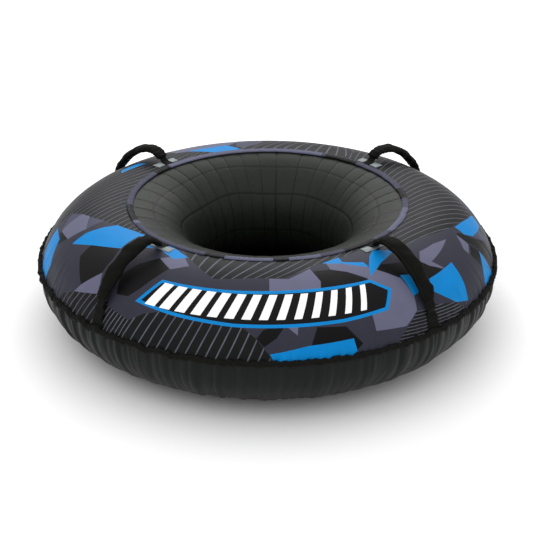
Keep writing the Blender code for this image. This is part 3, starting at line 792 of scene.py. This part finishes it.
# ---- Gathered binding on the seam ----
BINDING_COLUMNS = 2600
bind_turn = np.linspace(0, 360, BINDING_COLUMNS + 1)[:-1][:, None]
corner = np.linspace(0, 2 * math.pi, 19)[:-1][None, :]
gather = puffs(bind_turn, 560, 51, 0.8, 0.5, 0.6)
tilt = 0.58 * waver(bind_turn, 45, 110, 52) * calm(bind_turn)
wide = 0.0069 * (1 + 0.13 * waver(bind_turn, 60, 160, 53)) * (1 + 0.10 * gather)
tall = 0.0068 + 0.0040 * np.cos(np.radians(bind_turn)) ** 8 + 0.0020 * (1 - calm(bind_turn, 5.0))
tall = tall * (1 + 0.16 * waver(bind_turn, 50, 140, 54)) * (0.86 + 0.20 * gather)
x = wide * np.sign(np.cos(corner)) * np.abs(np.cos(corner)) ** 0.8
z = tall * np.sin(corner) * (1 - 0.35 * np.clip(np.cos(corner), 0, 1) ** 2)
z = z + 0.0010 * np.sin(np.radians(bind_turn) * 210 + corner * 2)
radius = SEAM_RADIUS + 0.0062 + x * np.cos(tilt) - z * np.sin(tilt)
level = SEAM_HEIGHT + seam_wave(bind_turn) + x * np.sin(tilt) + z * np.cos(tilt)
binding = surface("seam_ruffle", around(bind_turn, radius, level), BINDING_TAPE, (True, True))

# ---- Hem round the opening ----
HEM_COLUMNS = 1440
hem_rounds = np.linspace(0, 360, HEM_COLUMNS + 1)
hem_turn = hem_rounds[:-1][:, None]
corner = np.linspace(0, 2 * math.pi, 21)[:-1][None, :]
pucker = puffs(hem_turn, 205, 61, 0.8)
reach = 0.0086 + 0.0088 * np.sign(np.cos(corner)) * np.abs(np.cos(corner)) ** 0.75
reach = reach + 0.0005 * waver(hem_turn, 20, 60, 62)
HEM_MIDDLE = 0.0033
up = HEM_MIDDLE + 0.0034 * np.sin(corner)
puckered = HEM_MIDDLE + (up - HEM_MIDDLE) * (0.82 + 0.28 * pucker)
up = np.where(up > HEM_MIDDLE, puckered, np.maximum(up, 0.0002))
hem_grid = wall(hem_turn, HEM_ANGLE + reach / HEM_DEGREE, TUBE_LIFT + up)
lay = np.stack(np.broadcast_arrays(hem_rounds[:, None] / 360.0, np.linspace(0, 1, 21)[None, :]), -1)
hem = surface("hem_band", hem_grid, HEM_TAPE, (True, True), uv=lay)


def hem_row(reach, up, count=2400):
    """Points round the hem and the directions out of it."""
    turn = np.linspace(0, 360, count + 1)
    angle, lift = HEM_ANGLE + reach / HEM_DEGREE, TUBE_LIFT + up
    spots = wall(turn, angle, lift)
    return spots, wall(turn, angle, lift + 0.01) - spots


hem_rows = [hem_row(0.0030, 0.0060), hem_row(0.0058, 0.0068)]
hem_thread = stitched("hem_stitching", hem_rows, GREY_THREAD, 0.0045, 0.0032)

# ---- Handles ----


def flat(azimuth, radius):
    """A point in plan."""
    turn = math.radians(azimuth)
    return np.array([radius * math.cos(turn), radius * math.sin(turn)])


def handle_spot(line, angle, lift):
    """Point over the straight plan line between a handle's two ends."""
    start, step = line[0], line[1] - line[0]
    radius = float(section(angle)[0])
    a, b, c = step @ step, 2 * start @ step, start @ start - radius * radius
    spot = start + step * (-b + math.sqrt(max(b * b - 4 * a * c, 0.0))) / (2 * a)
    lifted, height = (float(v) for v in section(angle, lift))
    spot = spot + spot / np.linalg.norm(spot) * (lifted - radius)
    return np.array([spot[0], spot[1], height])


def between(a, b, c, d, t):
    """Where a smooth curve through four points is, at share t of the way from b to c."""
    return 0.5 * (2 * b + (c - a) * t + (2 * a - 5 * b + 4 * c - d) * t**2 + (3 * b - a - 3 * c + d) * t**3)


def spline(points, count):
    """Even points along a smooth curve through the given ones."""
    points = np.array(points)
    ends = np.concatenate([[2 * points[0] - points[1]], points, [2 * points[-1] - points[-2]]])
    fine = []
    for k in range(1, len(ends) - 2):
        t = np.linspace(0, 1, 24, endpoint=False)[:, None]
        fine.append(between(*ends[k - 1 : k + 3], t))
    fine = np.concatenate([*fine, points[-1:]])
    run = np.concatenate([[0], np.cumsum(np.linalg.norm(np.diff(fine, axis=0), axis=1))])
    at = np.linspace(0, run[-1], count)
    return along(at, run, fine), at


def frames(path, across):
    """Side and outward directions along a path."""
    ahead = unit(np.gradient(path, axis=0))
    side = unit(across - ahead * (ahead @ across)[:, None])
    up = np.cross(side, ahead)
    if up[len(up) // 2, 2] < 0:
        up = -up
    return side, up


def strap(
    name, points, across, look,
    width=STRAP_WIDTH, thickness=STRAP_THICKNESS, count=60, widths=(1, 1), ripple=None,
):
    """A flat woven strap with rounded edges along a path, with its lay in millimetres."""
    path, run = spline(points, count)
    side, up = frames(path, across)
    half, thick = width / 2, thickness / 2
    bevel = 0.0006
    places = (-half, -half + bevel, -half * 0.5, 0, half * 0.5, half - bevel, half)
    levels = (0.2 * thick, thick, thick, thick, thick, thick, 0.2 * thick)
    under = [(x, -level) for x, level in zip(places, levels)]
    over = [(x, level) for x, level in zip(reversed(places), levels)]
    profile = np.array(under + over)
    factor = np.interp(np.linspace(0, 1, count), np.linspace(0, 1, len(widths)), widths)
    grid = path[:, None] + side[:, None] * (profile[:, 0] * factor[:, None])[..., None]
    grid = grid + up[:, None] * profile[None, :, 1, None]
    if ripple is not None:
        grid = grid + up[:, None] * ripple(run[:, None] / run[-1], profile[None, :, 0] / half)[..., None]
    shape_lay = np.concatenate([profile[:, 0], profile[:1, 0]]) * 1000
    lay = np.stack(np.broadcast_arrays(shape_lay[None, :], run[:, None] * 1000), -1)
    return surface(name, grid, look, (False, True), caps=True, uv=lay)


def sleeve(name, points, across, seed):
    """The padded cloth tube round a handle's strap, turned in at both ends; also its rows of stitching."""
    count, sides = 96, 36
    path, run = spline(points, count)
    side, up = frames(path, across)
    draw = np.random.RandomState(seed)
    s = np.linspace(0, 1, count)[:, None]
    turn = np.linspace(0, 2 * math.pi, sides + 1)[:-1][None, :]
    wide = SLEEVE_WIDTH / 2 * (0.95 + 0.22 * np.sin(np.pi * np.clip(s, 0.02, 0.98)) ** 0.6)
    tall = SLEEVE_THICKNESS / 2 * (1.12 + 0.72 * np.sin(np.pi * np.clip(s, 0.02, 0.98)) ** 0.7)
    wide = wide * (1 + 0.03 * np.sin(2 * math.pi * (s * 3.3 + draw.rand())))
    rough = np.zeros((count, sides))
    for _ in range(12):
        waves = 2 * math.pi * draw.uniform(2, 8) * s
        rough = rough + np.sin(waves + draw.randint(-3, 4) * turn + draw.rand() * 6.28)
    wrap = 2 * math.pi * run[:, None]
    folds = 0.00085 * np.clip(np.sin(wrap / 0.0125 + 0.9 * np.sin(turn)), -0.3, 1) * (1 - fade(s, 0.10, 0.34))
    outer_folds = 0.0005 * np.sin(wrap / 0.017 + 1.1 * np.cos(turn)) * fade(s, 0.62, 0.92)
    past_seam = turn - math.pi
    seam = 0.0009 * np.exp(-((past_seam / 0.22) ** 2)) - 0.0006 * np.exp(-(((past_seam + 0.55) / 0.12) ** 2))
    bulge = 0.00030 * rough + folds + outer_folds + seam
    u = np.sign(np.cos(turn)) * np.abs(np.cos(turn)) ** 0.72
    v = np.where(np.sin(turn) > 0, 1.0, 0.80) * np.sin(turn)
    grid = path[:, None] + side[:, None] * (u * (wide + bulge))[..., None]
    grid = grid + up[:, None] * (v * (tall + bulge))[..., None]

    def mouth(k, step):
        """Rings that turn in at the end with index k and run back along the bore."""
        rings = []
        for back, shrink in ((0.0002, 0.95), (0.0012, 0.82), (0.006, 0.74), (0.012, 0.66)):
            at = k + step * back / (run[-1] / (count - 1))
            low = int(np.clip(np.floor(at), 0, count - 2))
            part = at - low
            middle = path[low] * (1 - part) + path[low + 1] * part
            w, t = wide[k, 0] * (shrink + 0.10), tall[k, 0] * shrink * 0.8
            rings.append(middle + side[k] * (u[0] * w)[:, None] + up[k] * (v[0] * t)[:, None])
        return np.array(rings)

    whole = np.concatenate([mouth(0, 1)[::-1], grid, mouth(count - 1, -1)])
    made = surface(name, whole, SLEEVE_CLOTH, (False, True), caps=True)
    edge = int(sides * 0.42)
    rows = []
    for place in (edge, sides - edge):
        spots = grid[4:-3, place]
        out = np.cross(np.gradient(spots, axis=0), np.gradient(grid, axis=1)[4:-3, place])
        rows.append((spots + up[4:-3] * 0.0001, out))
    return made, rows


def bent_patch(name, azimuth, low, high, length, lift, thickness, look, rows=10, columns=46):
    """A patch lying on the cover, with rounded edges; also the rows of stitching round it."""
    share = np.linspace(-0.5, 0.5, columns)[:, None]
    angles = np.linspace(low, high, rows)
    middle_radius = float(section((low + high) / 2)[0])
    turn = azimuth + np.degrees(share * length / middle_radius)
    edge = np.minimum(1, np.minimum(np.arange(rows), np.arange(rows)[::-1]))
    upper = wall(turn, angles[None, :], lift + thickness * (0.55 + 0.45 * edge)[None, :])
    lower = wall(turn, angles[None, :], lift)
    grid = np.concatenate([upper, lower[:, ::-1]], axis=1)
    ups = np.concatenate([angles, angles[::-1], angles[:1]]) * HEM_DEGREE * 1000
    lay = np.stack(np.broadcast_arrays(ups[None, :], share * length * 1000), -1)
    made = surface(name, grid, look, (False, True), caps=True, uv=lay)
    inset = 0.0032
    turn_in = np.degrees((length / 2 - inset) / middle_radius)
    angle_in = inset / HEM_DEGREE
    height = lift + thickness + 0.0001

    def line(a0, t0, a1, t1):
        k = np.linspace(0, 1, 60)
        place = (a0 + (a1 - a0) * k, t0 + (t1 - t0) * k)
        spots = wall(*place, height)
        return spots, wall(*place, height + 0.01) - spots

    a0, a1, t0, t1 = azimuth - turn_in, azimuth + turn_in, low + angle_in, high - angle_in
    rows = [line(a0, t0, a1, t0), line(a1, t0, a1, t1), line(a1, t1, a0, t1), line(a0, t1, a0, t0)]
    return made, rows


def limp(share, across):
    """Soft folds of the loose strap between a sleeve's outer mouth and the seam."""
    envelope = np.sin(np.pi * np.clip((share - 0.25) / 0.6, 0, 1)) ** 1.2
    folds = 0.0024 * np.sin(2 * math.pi * (share * 4.2 + 0.15 * across))
    return envelope * (folds + 0.0019 * across * np.sin(2 * math.pi * share * 3.1))


def join(piece, body, finish, node=None):
    """What a piece rides on and the node it stands for, if any. finish is not used."""
    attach(piece, body)
    if node is not None:
        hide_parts(node)


for order, (place, (foot_azimuth, seam_azimuth)) in enumerate(HANDLES.items()):
    body = f"handle_{place}"
    hem_end = flat(foot_azimuth, float(section(ARCH[0][0])[0]))
    line = (hem_end, flat(seam_azimuth, float(section(SEAM_ANGLE)[0])))
    step = line[1] - line[0]
    across = np.array([-step[1], step[0], 0.0]) / np.linalg.norm(step)
    arch, foot, end = ([handle_spot(line, *spot) for spot in spots] for spots in (ARCH, FOOT, OUTER_END))

    pad, pad_rows = sleeve(f"{body}_pad", arch[1:12], across, 70 + order)
    join(pad, body, "black_nylon", f"{body}_sleeve")
    pad_thread = stitched(f"{body}_pad_stitching", pad_rows, BLACK_THREAD, 0.0048, 0.0034, 0.0004)
    join(pad_thread, body, "black_nylon")

    core = strap(f"{body}_strap_middle", arch[2:11], across, STRAP_WEB, count=50)
    join(core, body, "black_webbing", f"{body}_webbing")

    inner = strap(f"{body}_strap_inner", foot + arch[:4], across, STRAP_WEB, count=60)
    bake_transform(inner)
    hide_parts(f"{body}_foot")

    spread = (1, 1, 1.08, 1.05, 1.22, 1.30, 1.42)
    outer_points = arch[9:] + end
    outer_name = f"{body}_strap_outer"
    outer = strap(outer_name, outer_points, across, STRAP_WEB, count=90, widths=spread, ripple=limp)
    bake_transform(outer)
    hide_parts(f"{body}_end")

    patch_name = f"{body}_patch_tape"
    patch, rows = bent_patch(patch_name, foot_azimuth, 88.5, 95.6, 0.075, 0.0008, 0.0011, PATCH_WEB)
    join(patch, "tube", "grey_tape", f"{body}_patch")
    patch_thread = stitched(f"{body}_patch_stitching", rows, GREY_THREAD, 0.0032, 0.0023, 0.0003)
    join(patch_thread, "tube", "grey_tape")

    # Two rows of stitching along the strap's foot and a cross between them
    foot_path, _ = spline(foot[:3], 20)
    foot_side, foot_up = frames(foot_path, across)
    cross = []
    for sign in (-1, 1):
        cross.append((foot_path + foot_side * (sign * 0.0100) + foot_up * 0.0011, foot_up))
    for sign in (-1, 1):
        k = np.linspace(0, 1, 18)[:, None]
        spots = foot_path[1:-1] + foot_side[1:-1] * (sign * 0.0095 * (1 - 2 * k)) + foot_up[1:-1] * 0.0011
        cross.append((spots, foot_up[1:-1]))
    foot_thread = stitched(f"{body}_foot_stitching", cross, BLACK_THREAD, 0.0030, 0.0022, 0.0003)
    join(foot_thread, "tube", "black_webbing")

# ---- Tow point at the back ----
tow_patch, tow_rows = bent_patch(
    "tow_patch_cloth", TOW_AZIMUTH, 12.0, 28.0, 0.090, 0.0026, 0.0011, BOTTOM_CLOTH, 16, 40
)
tow_thread = stitched("tow_patch_stitching", tow_rows, BLACK_THREAD, 0.0036, 0.0026, 0.00035)
tow_x = np.array([1.0, 0.0, 0.0])


def back_spot(angle, lift):
    """A point on the middle line of the back."""
    radius, height = (float(v) for v in section(angle, lift))
    return (0.0, radius, height)


_, ring_high = (np.array(v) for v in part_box("tow_ring"))
loop_low, loop_high = (np.array(v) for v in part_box("tow_loop"))
pivot = np.array([0.0, (loop_low[1] + loop_high[1]) / 2, loop_high[2] - 0.0020])
# The anchor lies on the cover, goes over the seam and down to the loop
anchor_points = [
    back_spot(27.0, 0.0049),
    back_spot(23.0, 0.0048),
    back_spot(18.0, 0.0048),
    back_spot(13.5, 0.0058),
    (0.0, SEAM_RADIUS + 0.0050, SEAM_HEIGHT + 0.0083),
    (0.0, SEAM_RADIUS + 0.0118, SEAM_HEIGHT + 0.0062),
    (0.0, pivot[1], pivot[2] + 0.0006),
]
anchor = strap("tow_anchor_strap", anchor_points, tow_x, TOW_WEB, TOW_STRAP_WIDTH, 0.0018, 50)
# The loop goes down from its hinge, round under the ring's bar and up again
bend = 0.0046
drop = -0.0405
legs = ((0.0010, 0.0012), (0.0011, -0.006), (0.0022, -0.018), (bend - 0.0004, -0.032))
loop_path = [(-y, z) for y, z in legs]
for place in (180, 215, 250, 290, 325, 360):
    loop_path.append((bend * math.cos(math.radians(place)), drop + bend * math.sin(math.radians(place))))
loop_path += reversed(legs)
loop_points = [pivot + (0, y, z) for y, z in loop_path]
loop = strap("tow_loop_strap", loop_points, tow_x, TOW_WEB, TOW_STRAP_WIDTH, 0.0017, 110)

# The D ring: a straight bar and a half circle of round wire, welded in the middle of the bar
WIRE_RADIUS = 0.0025
RING_REACH = 0.024
bar_height = ring_high[2] - WIRE_RADIUS
ring_path = [(-0.021, 0.0), (-0.007, 0.0), (0.007, 0.0), (0.021, 0.0), (RING_REACH, -0.0030)]
for k in range(13):
    place = math.pi * k / 12
    ring_path.append((RING_REACH * math.cos(place), -0.010 - RING_REACH * math.sin(place)))
ring_path += [(-RING_REACH, -0.0030)]
count = len(ring_path)
wrapped = np.array(ring_path * 3)
smooth = []
for at in np.linspace(0, count, 145)[:-1]:
    k = int(at) + count
    smooth.append(between(*wrapped[k - 1 : k + 3], at - int(at)))
smooth = np.array(smooth)
ahead = unit(np.roll(smooth, -1, 0) - np.roll(smooth, 1, 0))
out = np.stack([ahead[:, 1], -ahead[:, 0]], 1)
turn = np.linspace(0, 2 * math.pi, 19)[:-1]
weld = 1 + 0.10 * np.exp(-(((np.arange(len(smooth)) - 12) / 1.6) ** 2))
ring_grid = np.zeros((len(smooth), len(turn), 3))
ring_grid[..., 0] = smooth[:, :1] + out[:, :1] * np.cos(turn) * WIRE_RADIUS * weld[:, None]
ring_grid[..., 1] = pivot[1] + np.sin(turn) * WIRE_RADIUS * weld[:, None]
ring_grid[..., 2] = bar_height + smooth[:, 1:] + out[:, 1:] * np.cos(turn) * WIRE_RADIUS * weld[:, None]
tow_ring = surface("tow_d_ring", ring_grid, STEEL, (True, True))

# ---- Air valve, in the wall of the hole at the front ----
valve_low, valve_high = (np.array(v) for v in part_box("valve_base"))
wall_y = valve_low[1] - 0.0003
valve_height = float((valve_low[2] + valve_high[2]) / 2)
STEM_TIP = 0.032
CAP_TIP = STEM_TIP + 0.004
THREAD_PITCH = 0.0016


def lathe(name, profile, look, sides=48, closed=True, ridges=0, depth=0.0, ridge_rows=()):
    """A body turned about the valve's axis from distances and radii; ridges are cut into the rows named."""
    turn = np.linspace(0, 2 * math.pi, sides + 1)[:-1]
    rings = []
    for k, (distance, radius) in enumerate(profile):
        here = np.full(sides, radius)
        if k in ridge_rows:
            here = here + depth * np.cos(ridges * turn)
        along_axis = np.full(sides, wall_y + distance)
        rings.append(np.stack([here * np.cos(turn), along_axis, valve_height + here * np.sin(turn)], -1))
    return surface(name, np.array(rings), look, (closed, True), caps=not closed, crease=35)


def from_tip(tip, *profile):
    """A profile whose distances are given from the tip."""
    return [(tip + distance, radius) for distance, radius in profile]


base_profile = (
    (-0.0015, 0.0156), (0.0006, 0.0152), (0.0016, 0.0140), (0.0022, 0.0118), (0.0030, 0.0094),
    (0.0046, 0.0082), (0.0085, 0.0075), (0.0108, 0.0071), (0.0112, 0.0074), (0.0124, 0.0074),
    (0.0130, 0.0066), (0.0130, 0.0045), (-0.0015, 0.0045),
)
valve_base = lathe("valve_root", base_profile, VALVE_RUBBER, 64)
thread = []
for k in range(9):
    crest = STEM_TIP - 0.0012 - THREAD_PITCH * (8 - k)
    thread += [(crest - 0.0005, 0.0037), (crest, 0.0041)]
stem_profile = [(-0.004, 0.0041), (0.0135, 0.0041), (0.0145, 0.0037), *thread]
stem_profile += from_tip(STEM_TIP, (-0.0003, 0.0038), (0, 0.0034), (0, 0.0027), (-0.0005, 0.0024))
stem_profile += [(-0.004, 0.0024)]
valve_stem = lathe("valve_tube", stem_profile, BRASS, 40)
core_profile = from_tip(
    STEM_TIP,
    (-0.018, 0.0019), (-0.012, 0.0021), (-0.006, 0.0021), (-0.005, 0.0018),
    (-0.004, 0.0021), (-0.001, 0.0021), (-0.001, 0.0008), (-0.018, 0.0008),
)
valve_core = lathe("valve_insert", core_profile, BRASS, 28)
pin_profile = from_tip(
    STEM_TIP,
    (-0.020, 0.0012), (-0.0186, 0.0013), (-0.0185, 0.0006), (0.0010, 0.0006),
    (0.0011, 0.0010), (0.0017, 0.0010), (0.0018, 0.0006),
)
valve_pin = lathe("valve_needle", pin_profile, BRASS, 20, False)
# The cap's bore first, then its bead, its ridged side and its end
cap_profile = from_tip(
    CAP_TIP,
    (-0.0016, 0.0003), (-0.0014, 0.0044), (-0.0030, 0.0044), (-0.0140, 0.0044),
    (-0.0140, 0.0050), (-0.0136, 0.0056), (-0.0128, 0.0056), (-0.0122, 0.0053),
    (-0.0120, 0.0054), (-0.0028, 0.0052), (-0.0022, 0.0050), (-0.0008, 0.0044),
    (0, 0.0034), (0, 0.0003),
)
valve_cap = lathe("valve_dust_cap", cap_profile, CAP_PLASTIC, 96, False, 24, 0.00025, (8, 9))

# ---- What each piece rides on, the finish named with it and the node it stands for ----
for piece, body, finish, *node in (
    (top_cover, "tube", "printed_nylon", "top_cover"),
    (bottom_cover, "tube", "black_nylon", "bottom_cover"),
    (base_panel, "tube", "black_nylon", "base_panel"),
    (inner_tube, "tube", "rubber", "inner_tube"),
    (binding, "tube", "black_nylon", "seam_binding"),
    (hem, "tube", "grey_tape", "rim_hem"),
    (hem_thread, "tube", "grey_tape"),
    (tow_patch, "tube", "black_nylon", "tow_patch"),
    (anchor, "tube", "black_webbing", "tow_anchor"),
    (loop, "tow_loop", "black_webbing", "tow_loop"),
    (tow_ring, "tow_ring", "steel", "tow_ring"),
    (valve_base, "tube", "rubber", "valve_base"),
    (valve_stem, "tube", "brass", "valve_stem"),
    (valve_core, "tube", "brass", "valve_core"),
    (valve_pin, "valve_pin", "brass", "valve_core_pin"),
    (valve_cap, "valve_cap", "black_plastic", "valve_cap"),
    (tow_thread, "tube", "black_nylon"),
):
    join(piece, body, finish, *node)
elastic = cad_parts["rim_elastic"]
elastic.data.materials.clear()
elastic.data.materials.append(ELASTIC)

# ---- Studio ----
FLOOR_LEVEL = -0.0006
FLOOR_REACH = 80
floor_look = Look("pale floor", roughness=0.9, specular_ior_level=0.1)
floor_cloud = floor_look.noise(floor_look.place(), 2.0)
floor_look.feed(base_color=floor_look.mix(floor_cloud, (0.93, 0.93, 0.93, 1), (0.95, 0.95, 0.95, 1)))
floor_mesh = bpy.data.meshes.new("studio_floor")
corners = [(x * FLOOR_REACH, y * FLOOR_REACH, FLOOR_LEVEL) for x, y in ((-1, -1), (1, -1), (1, 1), (-1, 1))]
floor_mesh.from_pydata(corners, [], [(0, 1, 2, 3)])
placed("studio_floor", floor_mesh, floor_look.material)

# The sky is brighter overhead than at the horizon
world = bpy.data.worlds.new("studio")
bpy.context.scene.world = world
world.use_nodes = True
sky = world.node_tree
way = sky.nodes.new("ShaderNodeTexCoord")
height = sky.nodes.new("ShaderNodeSeparateXYZ")
sky.links.new(way.outputs["Generated"], height.inputs[0])
glow = sky.nodes.new("ShaderNodeMapRange")
glow.inputs["To Min"].default_value = 0.28
glow.inputs["To Max"].default_value = 1.62
sky.links.new(height.outputs["Z"], glow.inputs["Value"])
sky.nodes["Background"].inputs["Color"].default_value = (1, 1, 1, 1)
sky.links.new(glow.outputs[0], sky.nodes["Background"].inputs["Strength"])


def soft_light(name, place, aim, size, power):
    """A rectangular light at place, turned to aim."""
    made = bpy.data.lights.new(name, "AREA")
    made.shape = "RECTANGLE"
    made.size, made.size_y = size
    made.energy = power
    lamp = placed(name, made)
    lamp.location = place
    lamp.rotation_euler = (Vector(aim) - Vector(place)).to_track_quat("-Z", "Y").to_euler()


soft_light("key", (-1.6, -1.8, 3.0), (0, 0, 0.2), (2.6, 2.0), 9)
soft_light("back", (0.0, 2.6, 1.9), (0, 0.1, 0.2), (3.2, 1.2), 30)

camera_data = bpy.data.cameras.new("camera")
camera_data.lens = 75.18
camera_data.sensor_width = 36
camera_data.shift_x = -0.002
camera_data.shift_y = -0.0235
camera = placed("camera", camera_data)
camera.location = (0.0, -2.6936, 1.4708)
camera.rotation_euler = (math.radians(63.88), 0.0, 0.0)
bpy.context.scene.camera = camera
bpy.context.scene.view_settings.view_transform = "Standard"
